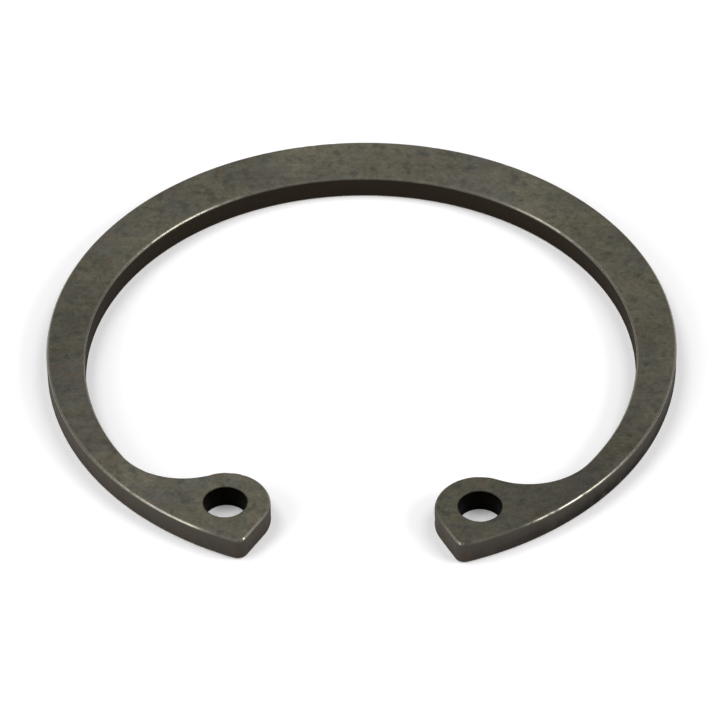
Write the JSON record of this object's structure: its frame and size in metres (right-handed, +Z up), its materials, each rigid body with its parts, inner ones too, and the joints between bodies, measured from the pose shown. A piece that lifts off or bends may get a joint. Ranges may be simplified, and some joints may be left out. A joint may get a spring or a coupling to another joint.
{
  "type": "internal retaining ring",
  "caption": "Internal retaining ring (circlip) for a bore: a flat sprung ring, open at the front, tapering from its back into two inward lugs with plier holes.",
  "frame": {"origin": "on the ring's axis, in the plane of its lower face", "axes": "+Z up along the ring's axis, the ring lying flat; -Y towards the gap between the lugs; +X towards the right-hand lug seen from the gap, with the ring the same on both sides of X = 0"},
  "size_m": [0.0378, 0.0366, 0.0015],
  "materials": {
    "phosphated_steel": "satin"
  },
  "bodies": {
    "root": {"retaining_ring": "phosphated_steel"}
  },
  "joints": []
}
